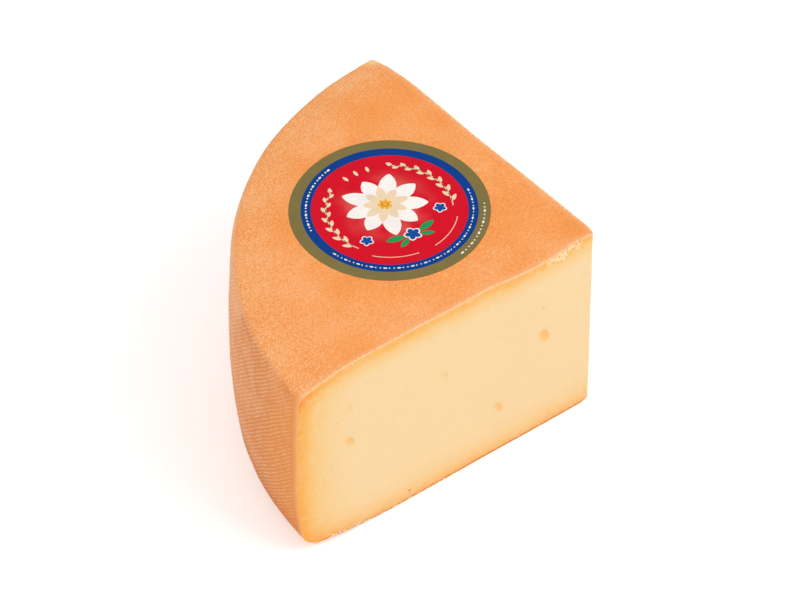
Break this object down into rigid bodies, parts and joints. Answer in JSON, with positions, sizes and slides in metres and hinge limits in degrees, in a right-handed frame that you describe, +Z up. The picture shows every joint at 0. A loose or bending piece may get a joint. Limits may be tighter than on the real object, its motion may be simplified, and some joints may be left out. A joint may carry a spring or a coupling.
{
  "type": "cheese quarter wheel",
  "caption": "Quarter of a hard cheese wheel with a pale cut paste, a cloth-marked orange rind and a round paper label on its crown.",
  "frame": {"origin": "middle of the piece's bounding box, at the height of the flat base it rests on", "axes": "+Z up, from the base to the crown; the first cut face looks along -Y, the second close to +X, and the rim curves round the -X and +Y side"},
  "size_m": [0.155, 0.1518, 0.1006],
  "materials": {
    "cheese": "warm orange cloth-marked rind round a pale cream-yellow paste, dull and slightly waxy",
    "label": "printed paper, smooth, with a red middle, a blue ring and an olive-gold border"
  },
  "bodies": {
    "root": {"cheese": "cheese", "label": "label"}
  },
  "joints": []
}
